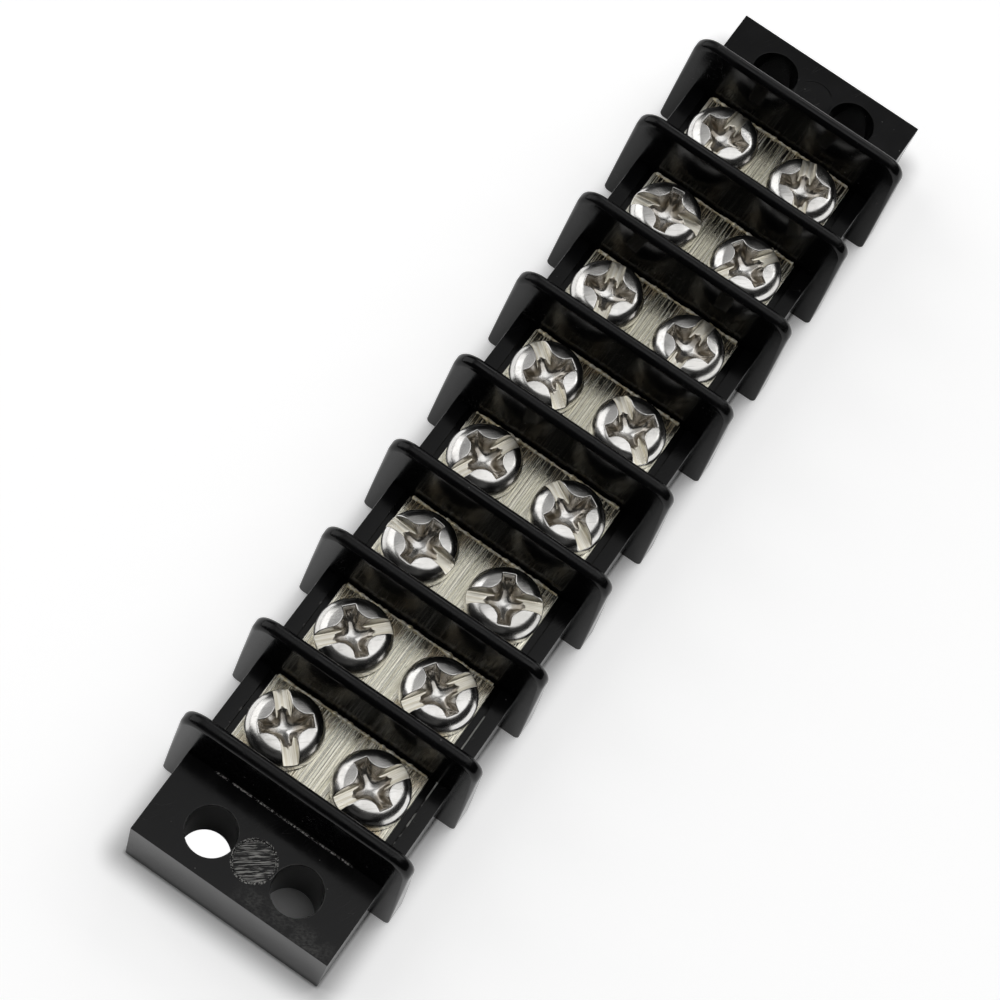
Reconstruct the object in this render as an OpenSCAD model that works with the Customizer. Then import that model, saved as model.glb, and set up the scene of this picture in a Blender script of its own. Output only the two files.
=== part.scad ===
// Double-row barrier terminal strip, 3/8 inch (9.525 mm) centres.
// One moulding carries a row of plated straps. Each strap joins the two #6-32 screws of its circuit.
// Units are millimetres. +X runs along the strip, +Y across it, +Z up from the mounting surface.

/* [Circuits] */
// Number of circuits in the strip
circuits = 8; // [2:1:12]
// Distance between neighbouring circuits
pitch = 9.525; // [9.4:0.025:11]

/* [Base] */
// Width of the base block
base_w = 18.4; // [18:0.1:20]
// Height of the base block
base_h = 6.8; // [6.4:0.1:8]
// Length of each mounting flange, from the centre of the end barrier
flange_l = 8.4; // [7:0.1:12]
// Diameter of the mounting holes
mount_d = 4.2; // [3:0.1:4.6]
// Distance from a mounting hole's centre to the end of the strip
mount_end = 3.45; // [3:0.05:4]
// Distance across the strip between the two holes of one flange
mount_span = 8.06; // [7.4:0.02:10]
// Diameter of the ejector pin mark between them
ejector_d = 3.5; // [2:0.1:3.6]
// Depth of the ejector pin mark
ejector_depth = 0.12; // [0.05:0.01:0.3]

/* [Barriers] */
// Height of the barriers above the mounting surface
barrier_h = 12.8; // [12:0.1:16]
// Width of a barrier at the mounting surface
barrier_foot_w = 21.9; // [21:0.1:24]
// Width of a barrier at its top
barrier_top_w = 21.2; // [20:0.1:23]
// Thickness of a barrier at the mounting surface
barrier_foot_t = 2.1; // [1.8:0.05:2.4]
// Thickness of a barrier at its top
barrier_top_t = 1.2; // [1.1:0.05:1.6]
// Radius of a barrier's upper corners
barrier_corner_r = 1.9; // [0.8:0.1:2.5]
// Radius of a barrier's lower corners
barrier_heel_r = 0.5; // [0.2:0.1:1]
// Radius along a barrier's top edges
barrier_edge_r = 0.55; // [0.1:0.05:0.55]
// Radius down the sides of a barrier
barrier_side_r = 0.42; // [0.1:0.02:0.5]

/* [Pockets] */
// Depth of the strap pockets below the top of the base
pocket_depth = 0.45; // [0.2:0.05:0.8]
// Width of the ledge left beside each pocket
ledge_w = 1.3; // [0.8:0.1:2]
// Thickness of the floor left under the screw wells
well_floor = 0.6; // [0.3:0.05:0.8]

/* [Straps] */
// Thickness of a strap
strap_t = 0.95; // [0.6:0.05:1.2]
// Gap between the end of a strap and its ledge
strap_end_gap = 0.6; // [0.1:0.05:0.8]
// Gap between the side of a strap and the barrier
strap_side_gap = 0.15; // [0.05:0.05:0.3]
// Radius of a strap's corners
strap_corner_r = 0.35; // [0.1:0.05:0.8]
// Outside diameter of the threaded collars under a strap
collar_d = 4.7; // [4.4:0.1:5.4]
// Height of the threaded collars under a strap
collar_h = 1.3; // [0.6:0.1:2]
// Gap around a collar in its well
collar_gap = 0.05; // [0.02:0.01:0.2]

/* [Screws] */
// Distance across the strip between the two screws of a circuit
screw_span = 8.2; // [7.4:0.05:8.4]
// Major diameter of the screw thread
thread_d = 3.5; // [3:0.05:3.6]
// Radial gap between the thread and its hole
thread_gap = 0.05; // [0.02:0.01:0.1]
// Length of the screw under its head
shank_l = 6.35; // [5:0.05:6.35]
// Height of the chamfer at the tip of the screw
tip_chamfer = 0.45; // [0.1:0.05:0.8]
// Diameter of the screw head
head_d = 6.4; // [5.6:0.05:6.8]
// Height of the screw head
head_h = 2.3; // [2:0.05:2.6]
// Radius of the crown on top of the head
crown_r = 12; // [9:0.5:30]
// Radius of the shoulder between the crown and the side of the head
shoulder_r = 1; // [0.5:0.05:1.1]
// Gap between the head and its strap
seat_gap = 0.03; // [0.01:0.01:0.1]

/* [Drive recess] */
// Width of the slot
slot_w = 1.2; // [0.8:0.05:1.4]
// Depth of the slot at the centre of the head
slot_depth = 1.2; // [0.8:0.05:1.3]
// Distance across the tips of the cross recess
cross_d = 4.7; // [4:0.05:5]
// Distance across the cross recess at its floor
cross_floor_d = 2.5; // [1.8:0.05:2.9]
// Width of a wing of the cross recess at the top of the head
wing_mouth_w = 1.15; // [0.8:0.05:1.3]
// Width of a wing at the floor of the recess
wing_floor_w = 0.7; // [0.5:0.05:0.8]
// Radius of the four corners between the slot and the wings, at the top of the head
corner_r = 1.3; // [0.8:0.05:1.5]
// Radius the corners swell to at the floor of the recess
corner_floor_r = 2; // [1.6:0.05:2.2]
// Depth of the cross recess
cross_depth = 1.75; // [1.4:0.05:1.9]

/* [Hidden] */
$fn = 48;
overcut = 1;

// Angle each screw came to rest at, in degrees from +X towards +Y
turns_left = [43, 138, 85, 157, 52, 14, 99, 175, 30, 60, 90, 120];
turns_right = [151, 148, 117, 60, 50, 176, 148, 19, 50, 80, 110, 140];

body_l = circuits * pitch + 2 * flange_l;
pocket_z = base_h - pocket_depth;
pocket_w = base_w - 2 * ledge_w;
strap_top = pocket_z + strap_t;
strap_l = pocket_w - 2 * strap_end_gap;
strap_w = pitch - barrier_t(pocket_z) - 2 * strap_side_gap;
thread_hole_d = thread_d + 2 * thread_gap;
well_d = collar_d + 2 * collar_gap;
head_r = head_d / 2;
shoulder_z = sqrt(pow(crown_r - shoulder_r, 2) - pow(head_r - shoulder_r, 2)) - (crown_r - head_h);
crown_edge = (head_r - shoulder_r) * crown_r / (crown_r - shoulder_r);

BLACK = [0.07, 0.07, 0.08];
NICKEL = [0.76, 0.74, 0.68];
STEEL = [0.85, 0.85, 0.84];

// Thickness of a barrier at height z, which tapers with the draft of the mould
function barrier_t(z) = barrier_foot_t + (barrier_top_t - barrier_foot_t) * z / barrier_h;

// Place of barrier i and of circuit i along the strip, counted from 0 and from 1
function barrier_x(i) = (i - circuits / 2) * pitch;
function circuit_x(i) = (i - (circuits + 1) / 2) * pitch;

function unit(v) = v / norm(v);

// Convex outline with true round corners: each corner is cut back to its tangent points
// and a circle fills it again. corners holds [x, y, radius], counter-clockwise.
module rounded_outline(corners) {
    n = len(corners);
    cuts = [for (i = [0 : n - 1])
        let (
            p = [corners[i].x, corners[i].y],
            before = unit([corners[(i + n - 1) % n].x, corners[(i + n - 1) % n].y] - p),
            after = unit([corners[(i + 1) % n].x, corners[(i + 1) % n].y] - p),
            half = acos(before * after) / 2,
            reach = corners[i].z / tan(half)
        )
        [p + before * reach, p + after * reach, p + unit(before + after) * corners[i].z / sin(half)]
    ];
    polygon([for (cut = cuts) for (k = [0, 1]) cut[k]]);
    for (i = [0 : n - 1])
        if (corners[i].z > 0)
            translate(cuts[i][2])
                circle(r = corners[i].z);
}

// Turns a flat outline drawn in X and Y to face along X, standing on the Y axis
module facing_x(depth) {
    rotate([90, 0, 90])
        linear_extrude(depth, center = true)
            children();
}

// Turns a flat outline drawn in X and Y to face along Y, standing on the X axis
module facing_y(depth) {
    rotate([90, 0, 0])
        linear_extrude(depth, center = true)
            children();
}

// One barrier: its outline seen along the strip, its drafted section and its plan together
module barrier() {
    foot = barrier_foot_w / 2;
    top = barrier_top_w / 2;
    intersection() {
        facing_x(2 * barrier_foot_t)
            rounded_outline([
                [-foot, 0, barrier_heel_r], [foot, 0, barrier_heel_r],
                [top, barrier_h, barrier_corner_r], [-top, barrier_h, barrier_corner_r]
            ]);
        facing_y(2 * barrier_foot_w)
            rounded_outline([
                [-barrier_foot_t / 2, 0, 0], [barrier_foot_t / 2, 0, 0],
                [barrier_top_t / 2, barrier_h, barrier_edge_r],
                [-barrier_top_t / 2, barrier_h, barrier_edge_r]
            ]);
        linear_extrude(barrier_h)
            rounded_outline([
                [-barrier_foot_t / 2, -foot, barrier_side_r], [barrier_foot_t / 2, -foot, barrier_side_r],
                [barrier_foot_t / 2, foot, barrier_side_r], [-barrier_foot_t / 2, foot, barrier_side_r]
            ]);
    }
}

// Base block with the strap pockets sunk into it between the barriers
module base() {
    difference() {
        translate([-body_l / 2, -base_w / 2, 0])
            cube([body_l, base_w, base_h]);
        translate([barrier_x(0), -pocket_w / 2, pocket_z])
            cube([circuits * pitch, pocket_w, pocket_depth + overcut]);
    }
}

// Blind wells that clear the collars and the screws
module screw_wells() {
    for (i = [1 : circuits], side = [-1, 1])
        translate([circuit_x(i), side * screw_span / 2, well_floor])
            cylinder(d = well_d, h = base_h);
}

// Two mounting holes and an ejector pin mark in each flange
module flange_features() {
    for (end = [-1, 1]) {
        mount_x = end * (body_l / 2 - mount_end);
        for (side = [-1, 1])
            translate([mount_x, side * mount_span / 2, -overcut])
                cylinder(d = mount_d, h = base_h + 2 * overcut);
        translate([mount_x, 0, base_h - ejector_depth])
            cylinder(d = ejector_d, h = overcut);
    }
}

module housing() {
    color(BLACK)
        difference() {
            union() {
                base();
                for (i = [0 : circuits])
                    translate([barrier_x(i), 0, 0])
                        barrier();
            }
            screw_wells();
            flange_features();
        }
}

// Flat strap with two threaded collars drawn down from it
module strap(circuit) {
    color(NICKEL)
        translate([circuit_x(circuit), 0, pocket_z])
            difference() {
                union() {
                    linear_extrude(strap_t)
                        rounded_outline([
                            for (c = [[-1, -1], [1, -1], [1, 1], [-1, 1]])
                                [c.x * strap_w / 2, c.y * strap_l / 2, strap_corner_r]
                        ]);
                    for (side = [-1, 1])
                        translate([0, side * screw_span / 2, -collar_h])
                            cylinder(d = collar_d, h = collar_h + strap_t / 2);
                }
                for (side = [-1, 1])
                    translate([0, side * screw_span / 2, -collar_h - overcut])
                        cylinder(d = thread_hole_d, h = collar_h + strap_t + 2 * overcut);
            }
}

// Half section of the pan head: a low crown that runs into a round shoulder
module head_section() {
    intersection() {
        translate([0, head_h - crown_r])
            circle(r = crown_r, $fn = 240);
        union() {
            square([crown_edge, head_h]);
            square([head_r, shoulder_z]);
            translate([head_r - shoulder_r, shoulder_z])
                circle(r = shoulder_r);
        }
        square([head_r, head_h]);
    }
}

// Section of a cut that narrows from its mouth at the top of the head to its floor
module drafted_cut(mouth, floor, depth) {
    polygon([
        [-floor / 2, -depth], [floor / 2, -depth],
        [mouth / 2, 0], [mouth / 2, overcut],
        [-mouth / 2, overcut], [-mouth / 2, 0]
    ]);
}

// One pair of wings of the cross recess, which narrow towards their floor and their sloped tips
module wings() {
    intersection() {
        facing_y(cross_d)
            drafted_cut(cross_d, cross_floor_d, cross_depth);
        facing_x(cross_d)
            drafted_cut(wing_mouth_w, wing_floor_w, cross_depth);
    }
}

// Middle of the cross recess, open between four round corners that swell towards its floor
module recess_core() {
    corner_x = wing_mouth_w / 2 + corner_r;
    corner_y = slot_w / 2 + corner_r;
    difference() {
        translate([-corner_x, -corner_y, -cross_depth])
            cube([2 * corner_x, 2 * corner_y, cross_depth + overcut]);
        for (x = [-1, 1], y = [-1, 1])
            translate([x * corner_x, y * corner_y, 0])
                rotate_extrude()
                    polygon([
                        [0, -cross_depth - overcut], [corner_floor_r, -cross_depth - overcut],
                        [corner_floor_r, -cross_depth], [corner_r, 0],
                        [corner_r, 2 * overcut], [0, 2 * overcut]
                    ]);
    }
}

// Combination drive: a slot across the head and a cross recess that shares its line
module drive_recess() {
    translate([-head_d / 2 - overcut, -slot_w / 2, -slot_depth])
        cube([head_d + 2 * overcut, slot_w, slot_depth + overcut]);
    for (turn = [0, 90])
        rotate(turn)
            wings();
    recess_core();
}

// Binding screw, seated on its strap and turned to the given angle
module screw(circuit, side, turn) {
    color(STEEL)
        translate([circuit_x(circuit), side * screw_span / 2, strap_top + seat_gap])
            rotate(turn) {
                difference() {
                    rotate_extrude()
                        head_section();
                    translate([0, 0, head_h])
                        drive_recess();
                }
                translate([0, 0, tip_chamfer - shank_l])
                    cylinder(d = thread_d, h = shank_l - tip_chamfer);
                translate([0, 0, -shank_l])
                    cylinder(d1 = thread_d - 2 * tip_chamfer, d2 = thread_d, h = tip_chamfer);
            }
}

housing();
strap(1);  // strap_1
strap(2);  // strap_2
strap(3);  // strap_3
strap(4);  // strap_4
strap(5);  // strap_5
strap(6);  // strap_6
strap(7);  // strap_7
strap(8);  // strap_8
screw(1, 1, turns_left[0]);  // screw_1_left
screw(2, 1, turns_left[1]);  // screw_2_left
screw(3, 1, turns_left[2]);  // screw_3_left
screw(4, 1, turns_left[3]);  // screw_4_left
screw(5, 1, turns_left[4]);  // screw_5_left
screw(6, 1, turns_left[5]);  // screw_6_left
screw(7, 1, turns_left[6]);  // screw_7_left
screw(8, 1, turns_left[7]);  // screw_8_left
screw(1, -1, turns_right[0]);  // screw_1_right
screw(2, -1, turns_right[1]);  // screw_2_right
screw(3, -1, turns_right[2]);  // screw_3_right
screw(4, -1, turns_right[3]);  // screw_4_right
screw(5, -1, turns_right[4]);  // screw_5_right
screw(6, -1, turns_right[5]);  // screw_6_right
screw(7, -1, turns_right[6]);  // screw_7_right
screw(8, -1, turns_right[7]);  // screw_8_right
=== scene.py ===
# %% [markdown]
# # Barrier terminal strip
# A terminal strip joins pairs of wires in a control panel. One black moulding carries eight
# circuits. Each circuit is a plated strap with a screw at both ends, and tall barriers keep the
# circuits apart. The frame gives the exact solids. This lesson dresses them: the moulding, the
# straps and the screws are rebuilt with the small radii, burrs and threads that catch the light,
# and each gets its finish.

# %% Tools and frame
import math

import bmesh
import bpy
import numpy as np
from mathutils import Euler, Matrix, Vector


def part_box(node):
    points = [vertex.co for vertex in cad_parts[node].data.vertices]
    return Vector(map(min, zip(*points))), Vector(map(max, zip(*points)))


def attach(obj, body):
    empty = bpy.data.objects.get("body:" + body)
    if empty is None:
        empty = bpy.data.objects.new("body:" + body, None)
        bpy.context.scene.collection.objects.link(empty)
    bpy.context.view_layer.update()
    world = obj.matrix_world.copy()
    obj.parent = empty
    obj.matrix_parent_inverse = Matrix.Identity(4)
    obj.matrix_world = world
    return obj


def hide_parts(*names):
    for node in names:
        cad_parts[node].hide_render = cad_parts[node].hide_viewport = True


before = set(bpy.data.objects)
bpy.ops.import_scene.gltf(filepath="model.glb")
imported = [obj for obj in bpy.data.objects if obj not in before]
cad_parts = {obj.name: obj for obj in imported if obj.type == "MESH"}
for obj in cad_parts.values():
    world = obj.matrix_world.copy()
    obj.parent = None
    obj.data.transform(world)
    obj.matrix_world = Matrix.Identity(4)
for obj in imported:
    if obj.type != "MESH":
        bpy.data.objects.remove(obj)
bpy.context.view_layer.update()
MM = 0.001


def new_object(name, data):
    """An object in the scene."""
    made = bpy.data.objects.new(name, data)
    bpy.context.scene.collection.objects.link(made)
    return made



# %% [markdown]
# ## Sizes
# The moulding's box and every strap's box, and with them the pitch, are read from the solids. The
# other sizes repeat the values that the solids were made with, apart from edge radii and threads,
# which the solids leave out. A change to one of those has to be made here too.

# %% Sizes
CIRCUITS = 8
strap_box = [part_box(f"strap_{i + 1}") for i in range(CIRCUITS)]
strap_mid = [(low + high) / 2 for low, high in strap_box]
PITCH = strap_mid[1].x - strap_mid[0].x
house_low, house_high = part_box("housing")
STRIP_L = house_high.x - house_low.x
BARRIER_H = house_high.z
BASE_W = 18.4 * MM
BASE_H = 6.8 * MM
POCKET_D = 0.45 * MM
LEDGE_W = 1.3 * MM
WELL_D = 4.8 * MM
WELL_FLOOR = 0.6 * MM
SCREW_SPAN = 8.2 * MM
MOUNT_D = 4.2 * MM
MOUNT_END = 3.45 * MM
MOUNT_SPAN = 8.06 * MM
MOUNT_X, MOUNT_Y = house_low.x + MOUNT_END, MOUNT_SPAN / 2
EJECTOR_D = 3.5 * MM
EJECTOR_DEPTH = 0.12 * MM
MOULD_EDGE, STRAP_EDGE = 0.11 * MM, 0.07 * MM
print("strip length", round(STRIP_L / MM, 2), "pitch", round(PITCH / MM, 3))

# %% [markdown]
# ## Camera
# The strip lies diagonally in the view and is seen from above one end. A long lens keeps the rows
# nearly parallel.

# %% Camera
camera_data = bpy.data.cameras.new("camera")
camera = new_object("camera", camera_data)
camera.location = Vector((-106.13, -17.76, 228.82)) * MM
camera.rotation_euler = Euler([math.radians(a) for a in (22.615, -9.941, -56.706)])
camera_data.lens = 107.47
camera_data.clip_start = 0.01
camera_data.clip_end = 20
bpy.context.scene.camera = camera
print("lens", camera_data.lens, "mm")

# %% [markdown]
# ## Floor and light
# Black plastic and bright plate are mirrors first and colours second, so the light is built from
# what they have to mirror. A dim sky keeps the plastic black. A soft panel overhead, on the far
# side, fills the flat plate with an even grey, and two stronger boxes behind and to the left draw
# the bright lines on round shoulders and edges. Nothing bright hangs over the camera, so the
# faces that look back at it stay dark.

# %% Helpers for materials
def new_material(name):
    """A material with an empty node tree, and that tree."""
    material = bpy.data.materials.new(name)
    material.use_nodes = True
    material.node_tree.nodes.clear()
    return material, material.node_tree


def put(tree, kind, inputs=None, **settings):
    """Adds a node; inputs gives values or links by socket name or number."""
    made = tree.nodes.new(kind)
    for name, value in settings.items():
        setattr(made, name, value)
    for name, value in (inputs or {}).items():
        if isinstance(value, bpy.types.NodeSocket):
            tree.links.new(value, made.inputs[name])
        else:
            made.inputs[name].default_value = value
    return made


def maths(tree, operation, *values):
    """A Math node on numbers or sockets."""
    made = put(tree, "ShaderNodeMath", dict(enumerate(values)), operation=operation)
    return made.outputs[0]


def chain(tree, operation, first, *others):
    """One operation run over a row of numbers and sockets, from left to right."""
    for value in others:
        first = maths(tree, operation, first, value)
    return first


def times(tree, *values):
    """Product of numbers and sockets."""
    return chain(tree, "MULTIPLY", *values)


def plus(tree, *values):
    """Sum of numbers and sockets."""
    return chain(tree, "ADD", *values)


def most(tree, *values):
    """The largest of numbers and sockets."""
    return chain(tree, "MAXIMUM", *values)


def minus(tree, one, two):
    """Difference of two numbers or sockets."""
    return maths(tree, "SUBTRACT", one, two)


def length(tree, one, two):
    """Length of a flat vector."""
    squares = (maths(tree, "POWER", value, 2.0) for value in (one, two))
    return maths(tree, "SQRT", plus(tree, *squares))


def split(tree, vector):
    """The three parts of a vector."""
    return put(tree, "ShaderNodeSeparateXYZ", {0: vector}).outputs


def object_place(tree):
    """Where a point lies on its object, in metres."""
    return put(tree, "ShaderNodeTexCoord").outputs["Object"]


def ramp(tree, value, low, high, to_low=0.0, to_high=1.0):
    """A smooth step: to_low where value is below low, to_high where it is above high."""
    made = put(tree, "ShaderNodeMapRange", {
        "Value": value, "From Min": low, "From Max": high, "To Min": to_low, "To Max": to_high,
    }, interpolation_type="SMOOTHSTEP")
    return made.outputs["Result"]


def mixed(tree, share, first, second):
    """A colour between two colours."""
    first, second = ((*c, 1) if isinstance(c, tuple) else c for c in (first, second))
    made = put(tree, "ShaderNodeMix", {0: share, 6: first, 7: second}, data_type="RGBA")
    return made.outputs[2]


def within(tree, value, low, high, soft):
    """Mask that is 1 where value lies between low and high, with soft edges."""
    return times(tree, ramp(tree, value, low - soft, low + soft),
                 ramp(tree, value, high - soft, high + soft, 1.0, 0.0))


# %% [markdown]
# The floor is matt and pale. It glows for the camera and in reflections only, which lifts it to
# white there. The glow fades close to the strip: a painted contact shadow that lets the real one
# show too. Under the near left hole a small patch glows white for the camera only, painted light
# over the shaded floor, so the hole shows as one that goes right through.

# %% Floor
FLOOR_HALF = 3.0
FLOOR_GLOW, SHADOW_REACH, SHADOW_CORE = 0.585, 2.8 * MM, 0.3 * MM
PATCH_R, PATCH_SOFT = 2.4 * MM, 0.1 * MM
floor_mesh = bpy.data.meshes.new("floor")
floor_mesh.from_pydata(
    [(x * FLOOR_HALF, y * FLOOR_HALF, 0) for x, y in ((-1, -1), (1, -1), (1, 1), (-1, 1))],
    [], [(0, 1, 2, 3)],
)
floor = new_object("floor", floor_mesh)
floor_finish, tree = new_material("floor")
ray = put(tree, "ShaderNodeLightPath").outputs
seen = most(tree, ray["Is Camera Ray"], ray["Is Glossy Ray"], ray["Is Transmission Ray"])
x, y = split(tree, object_place(tree))[:2]


def beyond(value, half):
    """How far a coordinate lies outside the strip's half length or half width."""
    return most(tree, minus(tree, maths(tree, "ABSOLUTE", value), half), 0.0)


away = length(tree, beyond(x, STRIP_L / 2), beyond(y, BASE_W / 2))
# the glow fades towards the strip: a painted contact shadow
clear = times(tree, ramp(tree, away, 0.0, SHADOW_CORE), ramp(tree, away, 0.0, SHADOW_REACH, 0.25))
# a patch under the near left hole glows white for the camera only: painted light on shaded floor
from_hole = length(tree, minus(tree, x, MOUNT_X), minus(tree, y, MOUNT_Y))
painted_light_under_hole = times(tree, ramp(tree, from_hole, PATCH_R, PATCH_R + PATCH_SOFT, 1.0, 0.0),
                   ray["Is Camera Ray"])
glow = plus(tree, times(tree, seen, clear, FLOOR_GLOW), painted_light_under_hole)
paper = put(tree, "ShaderNodeBsdfPrincipled", {
    "Base Color": (0.85, 0.85, 0.85, 1), "Roughness": 0.9, "Specular IOR Level": 0.0,
    "Emission Color": (1, 1, 1, 1), "Emission Strength": glow,
})
put(tree, "ShaderNodeOutputMaterial", {"Surface": paper.outputs[0]})
floor_mesh.materials.append(floor_finish)
print("floor", 2 * FLOOR_HALF, "m wide")

# %% [markdown]
# Gloss shows its surroundings, so the studio matters as much as the finishes. A cloth overhead is
# brightest straight above and on the right, fades towards the far end and stops short of the
# camera, so faces turned to the camera stay black. It is drawn in the world by direction. Two
# soft boxes stand low, one on the left and one behind.

# %% Overhead cloth
SKY, CLOTH_NEAR, CLOTH_FAR = 0.02, 1.1, 0.42
world = bpy.data.worlds.new("studio")
bpy.context.scene.world = world
world.use_nodes = True
tree = world.node_tree
toward = put(tree, "ShaderNodeTexCoord").outputs["Generated"]
x, y, z = split(tree, toward)
level = ramp(tree, plus(tree, x, y), 0.12, 0.62, CLOTH_NEAR, CLOTH_FAR)
edges = times(tree, ramp(tree, x, -0.2, -0.05), ramp(tree, x, 0.65, 0.85, 1.0, 0.0),
              within(tree, y, -0.55, 0.6, 0.08), ramp(tree, z, 0.3, 0.45),
              ramp(tree, y, 0.2, 0.42, 1.0, 0.45), ramp(tree, x, 0.5, 0.62, 1.0, 0.55))
sky = tree.nodes["Background"].inputs
sky["Color"].default_value = (1, 1, 1, 1)
tree.links.new(plus(tree, times(tree, level, edges), SKY), sky["Strength"])
world.cycles.sampling_method = "MANUAL"
world.cycles.sample_map_resolution = 512

# %% Soft boxes
def soft_box(name, toward, size, radiance):
    """A soft box a metre away that faces the strip; its power follows from how bright it looks."""
    data = bpy.data.lights.new(name, "AREA")
    data.shape = "RECTANGLE"
    data.size, data.size_y = size
    data.energy = radiance * math.pi * size[0] * size[1]
    lamp = new_object(name, data)
    lamp.location = Vector(toward).normalized()
    lamp.rotation_euler = (-lamp.location).to_track_quat("-Z", "Y").to_euler()


soft_box("box_behind", (0.8, -0.16, 0.57), (0.95, 0.42), 1.6)
soft_box("box_left", (0.05, 0.84, 0.52), (0.95, 1.0), 1.3)
bpy.context.scene.view_settings.view_transform = "Standard"

# %% [markdown]
# ## Finishes
# Four finishes cover the strip: glossy black thermoplastic, brushed nickel plate on the straps,
# the torn metal of their sheared edges, and bright nickel plate on the screws. They share three
# effects, each built once as a node group: streaks that run one way, loose specks, and soft
# patches that let an effect come and go. All read Object coordinates, which are metres, so a
# scale of 1000 gives details a millimetre wide.

# %% Helpers for shader groups
def shader_group(name, inputs, output):
    """A shader node group. Gives the group, its input sockets and the socket of its one output."""
    group = bpy.data.node_groups.new(name, "ShaderNodeTree")
    for label, kind, value in inputs:
        socket = group.interface.new_socket(label, in_out="INPUT", socket_type="NodeSocket" + kind)
        socket.default_value = value
    group.interface.new_socket(output, in_out="OUTPUT", socket_type="NodeSocketFloat")
    given = group.nodes.new("NodeGroupInput").outputs
    return group, given, group.nodes.new("NodeGroupOutput").inputs[0]


def use(tree, group, vector, **values):
    """Places a group in a material and gives its output; values may be numbers or links."""
    made = put(tree, "ShaderNodeGroup", {"Vector": vector, **values}, node_tree=group)
    return made.outputs[0]


# %% Shared effects
streaks, given, result = shader_group(
    "streaks",
    [("Vector", "Vector", (0, 0, 0)), ("Turn", "Float", 0.0), ("Along", "Float", 100.0),
     ("Across", "Float", 3000.0), ("Detail", "Float", 3.0)],
    "Streak",
)
turned = put(streaks, "ShaderNodeVectorRotate",
             {"Vector": given["Vector"], "Angle": given["Turn"]}, rotation_type="Z_AXIS")
stretched = put(streaks, "ShaderNodeCombineXYZ", {
    k: times(streaks, part, given["Across" if k else "Along"])
    for k, part in enumerate(split(streaks, turned.outputs[0]))
})
grain = put(streaks, "ShaderNodeTexNoise", {
    "Vector": stretched.outputs[0], "Scale": 1.0, "Detail": given["Detail"], "Roughness": 0.6,
})
streaks.links.new(grain.outputs["Fac"], result)

specks, given, result = shader_group(
    "specks",
    [("Vector", "Vector", (0, 0, 0)), ("Scale", "Float", 2000.0), ("Share", "Float", 0.1),
     ("Size", "Float", 0.3)],
    "Speck",
)
cells = put(specks, "ShaderNodeTexVoronoi", {"Vector": given["Vector"], "Scale": given["Scale"]})
chance = split(specks, cells.outputs["Color"])
chosen = maths(specks, "LESS_THAN", chance[0], given["Share"])
reach = times(specks, given["Size"], plus(specks, chance[1], 0.3))
dot = maths(specks, "LESS_THAN", cells.outputs["Distance"], reach)
specks.links.new(times(specks, chosen, dot), result)

patches, given, result = shader_group(
    "patches",
    [("Vector", "Vector", (0, 0, 0)), ("Scale", "Float", 200.0), ("Level", "Float", 0.5),
     ("Softness", "Float", 0.1)],
    "Patch",
)
cloud = put(patches, "ShaderNodeTexNoise", {
    "Vector": given["Vector"], "Scale": given["Scale"], "Detail": 3.0, "Roughness": 0.55,
})
limits = (join(patches, given["Level"], given["Softness"]) for join in (minus, plus))
patches.links.new(ramp(patches, cloud.outputs["Fac"], *limits), result)
print("effects:", [g.name for g in bpy.data.node_groups])

# %% [markdown]
# The moulding is black right through, so wear shows only as a paler, rougher skin. The near flange
# carries most of it: coarse file marks in the pin mark and a worn edge. A thin pale ring round the
# rims of its holes is a painted highlight. A line of pale crumbs lies at the foot of the end
# barrier, the inner edges of the ledges beside the first circuits are scraped and carry a painted
# highlight, stronger on the side towards -Y, and the tops of the barriers look sanded. The rest has
# faint hairline scratches and dust. Each place is a mask worked out from the same sizes as the
# shape.

# %% Moulding finish
def principled(name, **values):
    """A material with a Principled shader; values are set on the shader's own sockets."""
    material, tree = new_material(name)
    inputs = {key.replace("_", " "): value for key, value in values.items()}
    shader = put(tree, "ShaderNodeBsdfPrincipled", inputs)
    put(tree, "ShaderNodeOutputMaterial", {"Surface": shader.outputs[0]})
    return material, tree, shader.inputs


def bumped(tree, target, height, distance, strength=1.0):
    """Raises the surface by height times distance, in metres."""
    made = put(tree, "ShaderNodeBump",
               {"Height": height, "Distance": distance, "Strength": strength})
    tree.links.new(made.outputs[0], target)


moulding, tree, skin_of = principled("moulding", IOR=1.38, Specular_IOR_Level=0.42)
here = object_place(tree)
x, y, z = split(tree, here)
facing = split(tree, put(tree, "ShaderNodeNewGeometry").outputs["Normal"])
flange_top = times(tree, ramp(tree, facing[2], 0.8, 0.95),
                   within(tree, z, BASE_H - 0.3 * MM, BASE_H + 0.1 * MM, 0.05 * MM))

MARK_R = EJECTOR_D / 2
FILE_TURN = math.radians(52)
from_mark = length(tree, minus(tree, x, MOUNT_X), y)
filed = use(tree, streaks, here, Turn=FILE_TURN, Along=600.0, Across=10500.0, Detail=2.0)
fine = use(tree, streaks, here, Turn=FILE_TURN, Along=1500.0, Across=9000.0)
filed = times(tree, ramp(tree, filed, 0.5, 0.57), ramp(tree, fine, 0.3, 0.5))
crumbs = use(tree, specks, here, Scale=9000.0, Share=0.75, Size=0.6)
rim = times(tree, within(tree, from_mark, MARK_R - 0.12 * MM, MARK_R + 0.12 * MM, 0.06 * MM),
            crumbs)
in_mark = ramp(tree, from_mark, MARK_R - 0.25 * MM, MARK_R - 0.05 * MM, 1.0, 0.0)
mark = times(tree, most(tree, times(tree, filed, in_mark), rim), flange_top)

FOOT_X = -CIRCUITS / 2 * PITCH - 0.82 * MM
foot = times(tree, within(tree, x, FOOT_X - 0.1 * MM, FOOT_X + 0.08 * MM, 0.03 * MM),
             within(tree, y, -6.2 * MM, 6.4 * MM, 0.3 * MM),
             within(tree, z, BASE_H - 0.1 * MM, BASE_H + 0.12 * MM, 0.04 * MM))
foot = times(tree, foot, use(tree, specks, here, Scale=11000.0, Share=0.8, Size=0.7),
             use(tree, patches, here, Scale=900.0, Level=0.42, Softness=0.1))

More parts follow.
